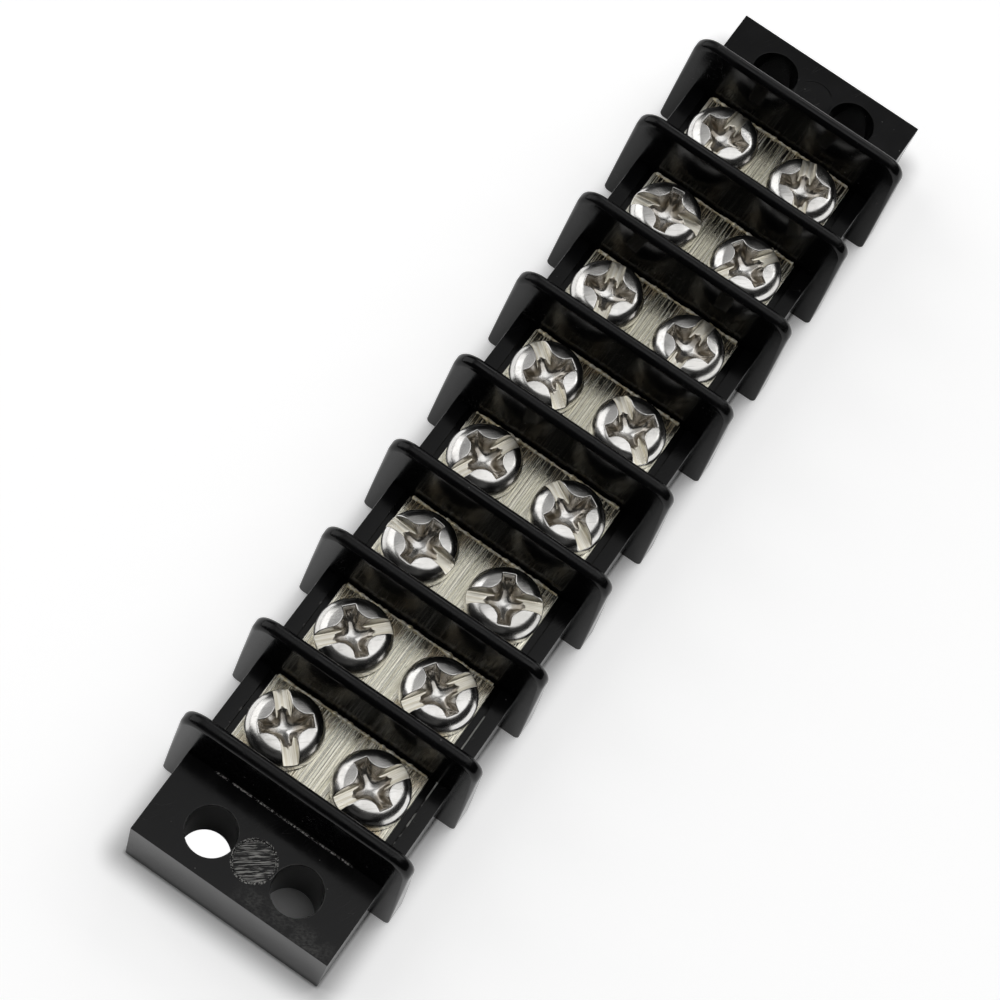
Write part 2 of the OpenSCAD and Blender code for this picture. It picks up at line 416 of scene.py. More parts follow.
edge_worn = times(
    tree, flange_top, within(tree, y, -8.8 * MM, -0.5 * MM, 1.2 * MM),
    ramp(tree, x, house_low.x + 0.9 * MM, house_low.x + 2.2 * MM, 1.0, 0.0),
    use(tree, patches, here, Scale=420.0, Level=0.46, Softness=0.1),
    ramp(tree, use(tree, streaks, here, Turn=1.2, Along=3000.0, Across=5000.0), 0.3, 0.7))

side = maths(tree, "ABSOLUTE", y)
from_hole = length(tree, minus(tree, x, MOUNT_X), minus(tree, side, MOUNT_Y))
# a thin pale ring round each mount hole on the flange: a painted highlight of the rim edge
painted_rim_highlight = times(tree, flange_top,
                 ramp(tree, from_hole, MOUNT_D / 2, MOUNT_D / 2 + 0.12 * MM, 1.0, 0.0),
                 use(tree, patches, here, Scale=600.0, Level=0.45, Softness=0.08))
LEDGE_IN = BASE_W / 2 - LEDGE_W
# pale lines along the inner ledge edges of the first circuits: part scrape, part a painted edge
# highlight, stronger towards -Y
scrape_and_painted_highlight = times(
    tree, within(tree, side, LEDGE_IN - 0.06 * MM, LEDGE_IN + 0.12 * MM, 0.03 * MM),
    within(tree, z, BASE_H - 0.15 * MM, BASE_H + 0.04 * MM, 0.02 * MM),
    within(tree, x, -4 * PITCH + 0.9 * MM, -2 * PITCH, 0.1 * MM),
    ramp(tree, y, -1 * MM, 1 * MM, 1.4, 0.3),
    use(tree, patches, here, Scale=330.0, Level=0.5, Softness=0.04),
    use(tree, streaks, here, Along=1500.0, Across=8000.0))

hair = use(tree, streaks, here, Turn=0.5, Along=160.0, Across=1500.0, Detail=1.0)
hair = maths(tree, "ABSOLUTE", minus(tree, hair, 0.5))
hair = times(tree, ramp(tree, hair, 0.0, 0.006, 1.0, 0.0),
             use(tree, patches, here, Scale=260.0, Level=0.56, Softness=0.05))
to_camera_side = ramp(tree, facing[0], -0.95, -0.7, 0.1, 0.03)
dust = use(tree, specks, here, Scale=2600.0, Share=0.03, Size=0.16)
pale = most(
    tree, times(tree, mark, 0.55), foot, times(tree, edge_worn, 0.075), times(tree, painted_rim_highlight, 0.09),
    scrape_and_painted_highlight, times(tree, hair, to_camera_side), times(tree, dust, 0.09))
tree.links.new(mixed(tree, pale, (0.004, 0.004, 0.0045), (0.85, 0.84, 0.8)),
               skin_of["Base Color"])

cloudy = use(tree, patches, here, Scale=330.0, Level=0.5, Softness=0.25)
crest = ramp(tree, z, BARRIER_H - 0.55 * MM, BARRIER_H - 0.25 * MM)
sanded = times(tree, crest, use(tree, patches, here, Scale=260.0, Level=0.46, Softness=0.1))
rough = plus(tree, ramp(tree, cloudy, 0.0, 1.0, 0.13, 0.2), times(tree, pale, 0.9),
             times(tree, sanded, 0.16))
tree.links.new(rough, skin_of["Roughness"])
ripple = use(tree, streaks, here, Along=1500.0, Across=1500.0, Detail=2.0)
grit = times(tree, sanded, use(tree, streaks, here, Along=9000.0, Across=9000.0, Detail=2.0))
relief = plus(tree, times(tree, ripple, 0.25), pale, times(tree, grit, 1.4))
bumped(tree, skin_of["Normal"], relief, 0.012 * MM)
print("moulding:", len(tree.nodes), "nodes")

# %% [markdown]
# The straps are brushed along X. Streaks that are long in X and very fine in Y tilt the surface
# to the sides only, which spreads reflections across the strip and keeps them sharp along it, as
# on real brushed plate. Fine bright streaks are painted glints. A brown ring round each screw
# head is part tarnish and part painted shade where the head sits on the plate.

# %% Strap finish
strap_plate, tree, skin_of = principled("strap_plate", Metallic=1.0)
TARNISH_SHADE_IN, TARNISH_SHADE_OUT = 3.2 * MM, 4.1 * MM
here = object_place(tree)
x, y = split(tree, here)[:2]
brushed = use(tree, streaks, here, Along=15.0, Across=9000.0, Detail=4.0)
broad = use(tree, streaks, here, Along=10.0, Across=3200.0, Detail=3.0)
nicks = use(tree, streaks, here, Along=1400.0, Across=7000.0)
drawn = use(tree, streaks, here, Along=12.0, Across=8500.0, Detail=1.0)
painted_glint_streak, dark_line = ramp(tree, drawn, 0.59, 0.63), ramp(tree, drawn, 0.33, 0.38, 1.0, 0.0)
to_screw_x = maths(tree, "WRAP", x, PITCH / 2, -PITCH / 2)
to_screw_y = minus(tree, maths(tree, "ABSOLUTE", y), SCREW_SPAN / 2)
# a brown ring just outside each head: part tarnish, part painted shade where the head meets the
# plate
ring = ramp(tree, length(tree, to_screw_x, to_screw_y), TARNISH_SHADE_IN, TARNISH_SHADE_OUT, 1.0, 0.0)
tarnish_and_painted_shade = times(tree, ring, use(tree, patches, here, Scale=450.0, Level=0.5, Softness=0.2))
pits = use(tree, specks, here, Scale=3500.0, Share=0.06, Size=0.3)
plate_colour = mixed(tree, ramp(tree, broad, 0.38, 0.62), (0.7, 0.67, 0.53), (0.94, 0.91, 0.78))
# the bright streaks carry painted glints in their colour, and the bump raises them too
for effect, amount, colour in (
    (dark_line, 0.6, (0.26, 0.23, 0.16)), (painted_glint_streak, 0.9, (0.97, 0.95, 0.86)),
    (tarnish_and_painted_shade, 0.6, (0.42, 0.28, 0.12)), (pits, 0.35, (0.2, 0.18, 0.13)),
):
    plate_colour = mixed(tree, times(tree, effect, amount), plate_colour, colour)
tree.links.new(plate_colour, skin_of["Base Color"])
rough = plus(tree, ramp(tree, brushed, 0.3, 0.7, 0.06, 0.13), times(tree, painted_glint_streak, 0.3))
tree.links.new(rough, skin_of["Roughness"])
relief = plus(tree, brushed, times(tree, broad, 0.3), times(tree, nicks, 0.8),
              times(tree, painted_glint_streak, 0.9))
bumped(tree, skin_of["Normal"], minus(tree, relief, times(tree, dark_line, 0.6)), 0.02 * MM)
print("strap plate:", len(tree.nodes), "nodes")

sheared, tree, skin_of = principled("sheared_edge", Metallic=0.35)
torn = use(tree, streaks, object_place(tree), Along=5000.0, Across=2500.0)
tree.links.new(mixed(tree, ramp(tree, torn, 0.4, 0.6), (0.8, 0.7, 0.45), (1.0, 0.97, 0.84)),
               skin_of["Base Color"])
tree.links.new(ramp(tree, torn, 0.3, 0.7, 0.25, 0.45), skin_of["Roughness"])
bumped(tree, skin_of["Normal"], torn, 0.03 * MM)

# %% [markdown]
# The screws are bright plate over a struck blank. The crown is smooth, the slot was pressed by a
# ground tool and keeps its fine lines, and the drive is painted darker and browner the deeper it
# lies, painted shade in the recess that is lighter at the middle of its floor. The masks for these
# come with the mesh: sunk says how deep a point lies in the drive, slotted marks the slot, and
# local gives the place on the head before it was turned, so the lines follow the slot.

# %% Screw finish
screw_plate, tree, skin_of = principled("screw_plate", Metallic=1.0)
local = put(tree, "ShaderNodeAttribute", attribute_name="local").outputs["Vector"]
sunk, slotted = (put(tree, "ShaderNodeAttribute", attribute_name=name).outputs["Fac"]
                 for name in ("sunk", "slotted"))
here = object_place(tree)
smudge = use(tree, patches, here, Scale=500.0, Level=0.5, Softness=0.2)
ground = use(tree, streaks, local, Along=150.0, Across=7000.0, Detail=3.0)
wiped = use(tree, streaks, here, Turn=0.9, Along=500.0, Across=5000.0)
# the drive darkens and browns with depth: painted shade in the recess
painted_drive_shade = times(tree, ramp(tree, sunk, 0.08, 0.6), ramp(tree, slotted, 0.3, 0.7, 1.0, 0.1),
                ramp(tree, smudge, 0.0, 1.0, 0.6, 1.0))
stain = use(tree, patches, here, Scale=300.0, Level=0.6, Softness=0.06)
plate_colour = mixed(tree, times(tree, smudge, 0.4), (0.82, 0.81, 0.79), (0.70, 0.68, 0.64))
slot_colour = mixed(tree, ramp(tree, ground, 0.4, 0.6), (0.8, 0.75, 0.62), (1.0, 0.97, 0.87))
for share, colour in (
    (ramp(tree, wiped, 0.55, 0.68, 0.0, 0.3), (0.5, 0.49, 0.46)),
    (times(tree, stain, 0.25), (0.34, 0.33, 0.32)),
    (times(tree, painted_drive_shade, 0.85), (0.27, 0.22, 0.15)),
    (slotted, slot_colour),
):
    plate_colour = mixed(tree, share, plate_colour, colour)
tree.links.new(plate_colour, skin_of["Base Color"])
rough = plus(tree, ramp(tree, smudge, 0.0, 1.0, 0.19, 0.27), times(tree, slotted, 0.08),
             times(tree, painted_drive_shade, 0.1))
tree.links.new(rough, skin_of["Roughness"])
relief = plus(tree, times(tree, ground, slotted, 1.5), times(tree, wiped, 0.5))
bumped(tree, skin_of["Normal"], relief, 0.01 * MM)
print("screw plate:", len(tree.nodes), "nodes")

# %% [markdown]
# ## Moulding
# The base is a block with one long pocket, blind wells under the screws and holes through both
# flanges. Cutting it with Geometry Nodes keeps the pattern tied to the pitch: a grid of points
# places the wells and another the holes. A Bevel breaks the sharp edges as the mould does.

# %% Helpers for node trees
def new_group(name, inputs):
    """A Geometry Nodes group with named inputs. Gives the group, its input and its output node."""
    group = bpy.data.node_groups.new(name, "GeometryNodeTree")
    for label, kind in inputs:
        group.interface.new_socket(label, in_out="INPUT", socket_type="NodeSocket" + kind)
    group.interface.new_socket("Geometry", in_out="OUTPUT", socket_type="NodeSocketGeometry")
    return group, group.nodes.new("NodeGroupInput"), group.nodes.new("NodeGroupOutput")


def floats(*labels):
    """Inputs of a tree that are plain numbers."""
    return [(label, "Float") for label in labels]


def socket_id(group, label):
    """The identifier of a group's input."""
    return next(
        s.identifier for s in group.interface.items_tree if s.in_out == "INPUT" and s.name == label
    )


def run_tree(piece, group, **values):
    """Adds the group to the piece as a modifier with its inputs set by identifier."""
    modifier = piece.modifiers.new(group.name, "NODES")
    modifier.node_group = group
    for label, value in values.items():
        modifier[socket_id(group, label.replace("_", " "))] = value
    piece.data.update()


def bake(piece, name):
    """A plain mesh object made from the piece with all its modifiers; the piece itself goes."""
    view = bpy.context.evaluated_depsgraph_get()
    mesh = bpy.data.meshes.new_from_object(piece.evaluated_get(view), depsgraph=view)
    mesh.name = name
    bpy.data.objects.remove(piece)
    return new_object(name, mesh)


def blank(name, mesh=None):
    """An object for a node tree to work on."""
    return new_object(name, mesh or bpy.data.meshes.new(name))


def break_edges(piece, width):
    """Adds a Bevel on the sharp edges and gives the modifier."""
    edge = piece.modifiers.new("edges", "BEVEL")
    edge.width = width
    edge.segments = 2
    edge.limit_method = "ANGLE"
    edge.angle_limit = math.radians(50)
    return edge


# %% Shapes inside a node tree
def combine(tree, x=0.0, y=0.0, z=0.0):
    """A vector whose parts are numbers or sockets."""
    return put(tree, "ShaderNodeCombineXYZ", {0: x, 1: y, 2: z}).outputs[0]


def moved(tree, geometry, place):
    """The geometry, moved by a vector."""
    return put(tree, "GeometryNodeTransform",
               {"Geometry": geometry, "Translation": place}).outputs[0]


def block(tree, x, y, z, place):
    """A box of the given size, with its middle at place."""
    cube = put(tree, "GeometryNodeMeshCube", {"Size": combine(tree, x, y, z)})
    return moved(tree, cube.outputs["Mesh"], place)


def drill(tree, width, depth, sides=48):
    """An upright cylinder round the origin, either to add or to cut with."""
    made = put(tree, "GeometryNodeMeshCylinder", {
        "Vertices": sides, "Radius": maths(tree, "DIVIDE", width, 2.0), "Depth": depth,
    })
    return made.outputs["Mesh"]


def on_grid(tree, shape, size_x, size_y, count_x, count_y):
    """Copies of a shape on a grid of points, as real geometry."""
    grid = put(tree, "GeometryNodeMeshGrid", {
        "Size X": size_x, "Size Y": size_y, "Vertices X": count_x, "Vertices Y": count_y,
    })
    copies = put(tree, "GeometryNodeInstanceOnPoints",
                 {"Points": grid.outputs["Mesh"], "Instance": shape})
    return put(tree, "GeometryNodeRealizeInstances", {0: copies.outputs[0]}).outputs[0]


def boolean(tree, operation, first, *others):
    """An exact boolean of meshes. A union has None as its first and joins the others."""
    made = put(tree, "GeometryNodeMeshBoolean", operation=operation, solver="EXACT")
    if first is not None:
        tree.links.new(first, made.inputs["Mesh 1"])
    for other in others:
        tree.links.new(other, made.inputs["Mesh 2"])
    return made.outputs["Mesh"]


def joined(tree, *parts):
    """Several meshes in one geometry, with nothing merged."""
    made = put(tree, "GeometryNodeJoinGeometry")
    for part in parts:
        tree.links.new(part, made.inputs[0])
    return made.outputs[0]


def welded(tree, geometry, distance):
    """The geometry with points merged that lie closer than the distance."""
    return put(tree, "GeometryNodeMergeByDistance", {0: geometry, "Distance": distance}).outputs[0]


def end_tree(tree, geometry, material, result):
    """Gives the geometry its material and leads it to the tree's output."""
    made = put(tree, "GeometryNodeSetMaterial", {"Geometry": geometry, "Material": material})
    tree.links.new(made.outputs[0], result.inputs[0])


# %% Base tree
base_group, given, result = new_group(
    "strip_base",
    [("Circuits", "Int"),
     *floats("Length", "Width", "Height", "Pitch", "Pocket Depth", "Ledge", "Screw Span",
             "Well Width", "Well Floor", "Mount Width", "Mount Span X", "Mount Span Y",
             "Mark Width", "Mark Depth")],
)
g = base_group
i = given.outputs
body = block(g, i["Length"], i["Width"], i["Height"],
             combine(g, z=maths(g, "DIVIDE", i["Height"], 2.0)))
pocket_l = times(g, i["Circuits"], i["Pitch"])
pocket_w = minus(g, i["Width"], times(g, i["Ledge"], 2.0))
pocket_h = times(g, i["Pocket Depth"], 2.0)
pocket = block(g, pocket_l, pocket_w, pocket_h, combine(g, z=i["Height"]))
well_h = minus(g, i["Height"], i["Well Floor"])
wells = on_grid(g, drill(g, i["Well Width"], well_h), minus(g, pocket_l, i["Pitch"]),
                i["Screw Span"], i["Circuits"], 2)
well_z = plus(g, i["Well Floor"], maths(g, "DIVIDE", well_h, 2.0))
wells = moved(g, wells, combine(g, z=well_z))
hole = drill(g, i["Mount Width"], times(g, i["Height"], 3.0), 64)
holes = on_grid(g, hole, i["Mount Span X"], i["Mount Span Y"], 2, 2)
mark = drill(g, i["Mark Width"], times(g, i["Mark Depth"], 2.0), 64)
marks = moved(g, on_grid(g, mark, i["Mount Span X"], 0.0, 2, 1), combine(g, z=i["Height"]))
cut = boolean(g, "DIFFERENCE", body, pocket, wells, holes, marks)
g.links.new(cut, result.inputs[0])

base = blank("base_blank")
run_tree(base, base_group, Length=STRIP_L, Width=BASE_W, Height=BASE_H, Circuits=CIRCUITS,
         Pitch=PITCH, Pocket_Depth=POCKET_D, Ledge=LEDGE_W, Screw_Span=SCREW_SPAN,
         Well_Width=WELL_D, Well_Floor=WELL_FLOOR, Mount_Width=MOUNT_D,
         Mount_Span_X=STRIP_L - 2 * MOUNT_END, Mount_Span_Y=MOUNT_SPAN, Mark_Width=EJECTOR_D,
         Mark_Depth=EJECTOR_DEPTH)
break_edges(base, MOULD_EDGE).miter_outer = "MITER_ARC"
base = bake(base, "base_blank")
print("base:", len(base.data.polygons), "faces")

# %% [markdown]
# The barriers are drafted plates: thinner and a little narrower at the top, so that they leave
# the mould. Their outline has round corners, and a round runs along every edge, wide along the
# top.

# %% Barrier plate
FOOT_W, TOP_W = 21.9 * MM, 21.2 * MM
FOOT_T, TOP_T = 2.1 * MM, 1.2 * MM
CORNER_R, HEEL_R = 1.9 * MM, 0.5 * MM
TOP_EDGE_R, FOOT_EDGE_R = 0.56 * MM, 0.12 * MM


def rounded_outline(corners, steps):
    """Points and inward normals of a convex outline with round corners, counter-clockwise."""
    points, normals = [], []
    for k, (x, y, r) in enumerate(corners):
        here = Vector((x, y))
        before = (Vector(corners[k - 1][:2]) - here).normalized()
        after = (Vector(corners[(k + 1) % len(corners)][:2]) - here).normalized()
        half = before.angle(after) / 2
        centre = here + (before + after).normalized() * r / math.sin(half)
        start = here + before * r / math.tan(half) - centre
        turn = math.pi - 2 * half
        for s in range(steps + 1):
            out = Matrix.Rotation(turn * s / steps, 2) @ start
            points.append(centre + out)
            normals.append(-out.normalized())
    return points, normals


def barrier_mesh():
    """One barrier at the origin: rings of its outline, drawn in and back to round the edges."""
    f, t = FOOT_W / 2, TOP_W / 2
    corners = [(-f, 0, HEEL_R), (f, 0, HEEL_R), (t, BARRIER_H, CORNER_R), (-t, BARRIER_H, CORNER_R)]
    points, normals = rounded_outline(corners, 10)
    # extra points up each side let the edge radius grow evenly with height
    ring = []
    for k, point in enumerate(points):
        ring.append((point, normals[k]))
        following, after = points[(k + 1) % len(points)], normals[(k + 1) % len(points)]
        if (following - point).length > 3 * MM:
            for s in range(1, 8):
                ring.append((point.lerp(following, s / 8), normals[k].lerp(after, s / 8)))
    arcs = [math.radians(a) for a in (0, 18, 36, 54, 72, 90)]
    verts, faces = [], []
    for side, angles in ((1, arcs), (-1, arcs[-2::-1])):
        for a in angles:
            for point, normal in ring:
                share = min(1, max(0, point.y / BARRIER_H))
                r = FOOT_EDGE_R + (TOP_EDGE_R - FOOT_EDGE_R) * share**2
                q = point + normal * r * (1 - math.sin(a))
                half = (FOOT_T + (TOP_T - FOOT_T) * q.y / BARRIER_H) / 2
                x = half - r * (1 - math.cos(a))
                verts.append((side * x, q.x, q.y))
    n = len(ring)
    rows = len(verts) // n
    for row in range(rows - 1):
        low, high = row * n, (row + 1) * n
        for k in range(n):
            j = (k + 1) % n
            faces.append((low + k, high + k, high + j, low + j))
    faces.append(tuple(range(n)))
    faces.append(tuple(reversed(range((rows - 1) * n, rows * n))))
    mesh = bpy.data.meshes.new("barrier")
    mesh.from_pydata(verts, [], faces)
    return mesh


barrier = blank("barrier", barrier_mesh())
check = bmesh.new()
check.from_mesh(barrier.data)
bmesh.ops.recalc_face_normals(check, faces=check.faces)
print("barrier volume mm3", round(check.calc_volume(signed=True) * 1e9, 1))
check.to_mesh(barrier.data)
check.free()

# %% [markdown]
# A second tree sets one barrier at each step of the pitch and joins them with the base into a
# single skin, as one shot of plastic.

# %% Housing tree
house_group, given, result = new_group(
    "strip_housing",
    [("Geometry", "Geometry"), ("Barrier", "Object"), ("Barriers", "Int"), ("Pitch", "Float"),
     ("Finish", "Material")],
)
g = house_group
i = given.outputs
plate = put(g, "GeometryNodeObjectInfo", {"Object": i["Barrier"]})
row_l = times(g, minus(g, i["Barriers"], 1.0), i["Pitch"])
row = on_grid(g, plate.outputs["Geometry"], row_l, 0.0, i["Barriers"], 1)
end_tree(g, boolean(g, "UNION", None, i["Geometry"], row), i["Finish"], result)
run_tree(base, house_group, Barrier=barrier, Barriers=CIRCUITS + 1, Pitch=PITCH, Finish=moulding)
housing = bake(base, "moulded_housing")


def smooth(piece, angle):
    """Shades a piece smooth up to an angle in degrees, and keeps its flats flat."""
    mesh = piece.data
    mesh.polygons.foreach_set("use_smooth", [True] * len(mesh.polygons))
    mesh.set_sharp_from_angle(angle=math.radians(angle))
    flats = piece.modifiers.new("flats", "WEIGHTED_NORMAL")
    flats.keep_sharp = True
    flats.weight = 50
    name = piece.name
    piece.name = name + "_old"
    return bake(piece, name)


housing = smooth(housing, 35)
bpy.data.objects.remove(barrier)
print("housing:", len(housing.data.polygons), "faces")

# %% Seat the housing
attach(housing, "base")
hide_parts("housing")

# %% [markdown]
# ## Straps
# A strap is a plate of nickel-plated brass with small round corners. Two collars under it carry
# the screw threads.

# %% Strap tree
STRAP_T = 0.95 * MM
STRAP_CORNER_R = 0.35 * MM
COLLAR_D = 4.7 * MM
THREAD_HOLE_D = 3.6 * MM
strap_group, given, result = new_group(
    "strap",
    [*floats("Length", "Width", "Thickness", "Corner", "Screw Span", "Collar Width",
             "Collar Height", "Hole Width"), ("Finish", "Material")],
)
g = strap_group
i = given.outputs
outline = put(g, "GeometryNodeCurvePrimitiveQuadrilateral",
              {"Width": i["Width"], "Height": i["Length"]})
corner = put(g, "GeometryNodeFilletCurve",
             {"Count": 6, "Curve": outline.outputs[0], "Radius": i["Corner"]}, mode="POLY")
sheet = put(g, "GeometryNodeFillCurve", {0: corner.outputs[0]}, mode="NGONS").outputs[0]
thick = put(g, "GeometryNodeExtrudeMesh", {
    "Individual": False, "Mesh": sheet, "Offset": combine(g, z=1.0),
    "Offset Scale": i["Thickness"],
})
under = put(g, "GeometryNodeFlipFaces", {0: sheet})
plate = welded(g, joined(g, thick.outputs["Mesh"], under.outputs[0]), 0.001 * MM)
collar_h = plus(g, i["Collar Height"], maths(g, "DIVIDE", i["Thickness"], 2.0))
collar = drill(g, i["Collar Width"], collar_h)
collars = on_grid(g, collar, 0.0, i["Screw Span"], 1, 2)
collar_z = minus(g, maths(g, "DIVIDE", collar_h, 2.0), i["Collar Height"])
collars = moved(g, collars, combine(g, z=collar_z))
hole = drill(g, i["Hole Width"], times(g, i["Collar Height"], 6.0))
holes = on_grid(g, hole, 0.0, i["Screw Span"], 1, 2)
solid = boolean(g, "DIFFERENCE", boolean(g, "UNION", None, plate, collars), holes)
end_tree(g, solid, i["Finish"], result)


def strap(number):
    """One strap, cut by the tree, with its edges broken."""
    low, high = strap_box[number]
    piece = blank(f"strap_blank_{number + 1}")
    collar_height = high.z - STRAP_T - low.z
    run_tree(piece, strap_group, Length=high.y - low.y, Width=high.x - low.x, Thickness=STRAP_T,
             Corner=STRAP_CORNER_R, Screw_Span=SCREW_SPAN, Collar_Width=COLLAR_D,
             Collar_Height=collar_height, Hole_Width=THREAD_HOLE_D, Finish=strap_plate)
    break_edges(piece, STRAP_EDGE)
    made = bake(piece, f"plated_strap_{number + 1}")
    mid = (low + high) / 2
    made.data.transform(Matrix.Translation((mid.x, mid.y, high.z - STRAP_T)))
    return smooth(made, 35)


straps = [strap(k) for k in range(CIRCUITS)]
print("strap:", len(straps[0].data.polygons), "faces each")

# %% Seat the straps
for k, piece in enumerate(straps):
    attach(piece, "base")
    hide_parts(f"strap_{k + 1}")

# %% [markdown]
# The straps are sheared from plate, and the shear leaves a thin broken burr along the far edge,
# just at the foot of the next barrier. It is a fine wire whose thickness follows noise, laid so
# low that it sinks into the plate where it is thin.

# %% Burr tree
BURR_GAP, BURR_LEAST, BURR_GAIN = 0.1, 0.02, 2.6
burr_group, given, result = new_group(
    "shear_burr",
    [*floats("Length", "Thickness", "Seed"), ("Place", "Vector"), ("Finish", "Material")],
)
g = burr_group
i = given.outputs
path = put(g, "GeometryNodeCurvePrimitiveLine", {
    "Start": combine(g, y=times(g, i["Length"], -0.5)),
    "End": combine(g, y=times(g, i["Length"], 0.5)),
})
dense = put(g, "GeometryNodeResampleCurve", {"Curve": path.outputs[0], "Count": 240})
rough = put(g, "ShaderNodeTexNoise", {"W": i["Seed"], "Scale": 2600.0, "Detail": 2.0},
            noise_dimensions="4D")
long_wave = put(g, "ShaderNodeTexNoise", {"W": i["Seed"], "Scale": 500.0}, noise_dimensions="4D")
amount = times(g, rough.outputs[0], long_wave.outputs[0])
amount = times(g, most(g, minus(g, amount, BURR_GAP), BURR_LEAST), BURR_GAIN)
profile = put(g, "GeometryNodeCurvePrimitiveCircle", {"Resolution": 6, "Radius": 1.0})
wire = put(g, "GeometryNodeCurveToMesh", {
    "Curve": dense.outputs[0], "Profile Curve": profile.outputs[0], "Fill Caps": True,
    "Scale": times(g, amount, i["Thickness"]),
})
seated = moved(g, wire.outputs[0], i["Place"])
real = put(g, "GeometryNodeRealizeInstances", {"Geometry": seated})
end_tree(g, real.outputs[0], i["Finish"], result)

# %% Lay the burrs
BURR_W, BURR_IN, BURR_SHARE = 0.36 * MM, 0.15 * MM, 0.97
for number, (low, high) in enumerate(strap_box):
    piece = blank(f"burr_blank_{number + 1}")
    place = (high.x - BURR_IN, 0.0, high.z)
    run_tree(piece, burr_group, Length=(high.y - low.y) * BURR_SHARE, Thickness=BURR_W,
             Place=place, Seed=float(number), Finish=sheared)
    made = smooth(bake(piece, f"strap_burr_{number + 1}"), 60)
    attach(made, "base")
print("burr:", len(made.data.polygons), "faces each")

# %% [markdown]
# ## Screw head
# The head is a low crown that rolls over a round shoulder into a short side. The drive is struck
# into it: a slot right across, and a cross recess that shares its line. Many drafted walls meet
# here, and a bevel on cut faces would tangle where they do. So the head is described as a field:
# at any point of space, how far that point is from the metal, below zero inside. Two such
# distances combine into one for what both shapes share, and a rounded way to combine them gives
# every edge its small radius.

# %% Distance helpers, in millimetres
def both(a, b, r):
    """Distance to what two shapes share, with its edges rounded to r."""
    return np.minimum(-r, np.maximum(a, b)) + np.hypot(np.maximum(a + r, 0), np.maximum(b + r, 0))


def either(a, b, r):
    """Distance to two shapes together, with the creases between them rounded to r."""
    return -both(-a, -b, r)


def drafted(across, z, mouth, floor, depth):
    """Distance to a wall whose half width goes from mouth, at the top, to floor, at depth."""
    lean = (mouth - floor) / depth
    return (across - mouth - (z - HEAD_H) * lean) / math.hypot(1, lean)


# %% Head and drive
HEAD_R, HEAD_H = 3.2, 2.3
CROWN_R, SHOULDER_R, LIP_R = 12.0, 1.0, 0.2
SLOT_MOUTH, SLOT_FLOOR, SLOT_DEPTH = 0.68, 0.6, 1.2
WING_MOUTH, WING_FLOOR = 0.575, 0.35
TIP_MOUTH, TIP_FLOOR = 2.35, 1.25
CROSS_DEPTH, POINT_SLOPE = 1.75, 0.34
SECTOR_R, SECTOR_FLOOR_R = 1.3, 2.0
EDGE_R, FOOT_R, BOWL_R, POINT_R = 0.065, 0.06, 0.3, 0.25


def plain_head(r, z):
    """Distance to the head before it is struck, at radius r and height z."""
    crown = np.hypot(r, z - HEAD_H + CROWN_R) - CROWN_R
    return both(both(crown, r - HEAD_R, SHOULDER_R), -z, LIP_R)


def drive(u, v, z):
    """Distances to what the punch takes away, to its slot, which runs along u, and its floor."""
    a, b = np.abs(u), np.abs(v)
    point = HEAD_H - CROSS_DEPTH + POINT_SLOPE * (np.hypot(np.hypot(u, v), POINT_R) - POINT_R)
    floor = (point - z) / math.hypot(1, POINT_SLOPE)
    slot = both(drafted(b, z, SLOT_MOUTH, SLOT_FLOOR, SLOT_DEPTH), HEAD_H - SLOT_DEPTH - z, FOOT_R)
    ca, cb = WING_MOUTH + SECTOR_R, SLOT_MOUTH + SECTOR_R
    swell = (SECTOR_FLOOR_R - SECTOR_R) / CROSS_DEPTH
    post = (SECTOR_R + (HEAD_H - z) * swell - np.hypot(a - ca, b - cb)) / math.hypot(1, swell)
    plan = np.maximum(post, np.maximum(a - ca, b - cb))
    for along, across, mouth in ((b, a, WING_MOUTH), (a, b, SLOT_FLOOR)):
        sides = drafted(across, z, mouth, WING_FLOOR, CROSS_DEPTH)
        end = drafted(along, z, TIP_MOUTH, TIP_FLOOR, CROSS_DEPTH)
        plan = either(plan, both(sides, end, FOOT_R), FOOT_R)
    return either(slot, both(plan, floor, BOWL_R), FOOT_R), slot, floor


def head_field(p):
    """Distance from the points p to the struck head."""
    u, v, z = p[..., 0], p[..., 1], p[..., 2]
    return both(plain_head(np.hypot(u, v), z), -drive(u, v, z)[0], EDGE_R)


print("middle of the head:", round(float(head_field(np.array([0, 0, 0.5]))), 3), "mm inside")

# %% [markdown]
# The skin is laid as surface nets do it. Space is divided into small cells. Each cell that the
# surface passes through gets one point, which slides down the field's slope onto the surface, and
# each cell edge that the surface crosses becomes a face between the four cells round it. The
# field's slope also gives the true normal at each point, so the facets don't show however few
# they are.

# %% Skin of a field
def slope(field, p, h=1e-3):
    """Unit direction in which the field grows at the points p."""
    steps = np.eye(3) * h
    grown = np.stack([field(p + s) - field(p - s) for s in steps], -1)
    return grown / np.maximum(np.linalg.norm(grown, axis=-1, keepdims=True), 1e-12)


def settle(field, p, rounds=4):
    """The points p moved onto the surface of the field."""
    for _ in range(rounds):
        p = p - slope(field, p) * field(p)[..., None]
    return p


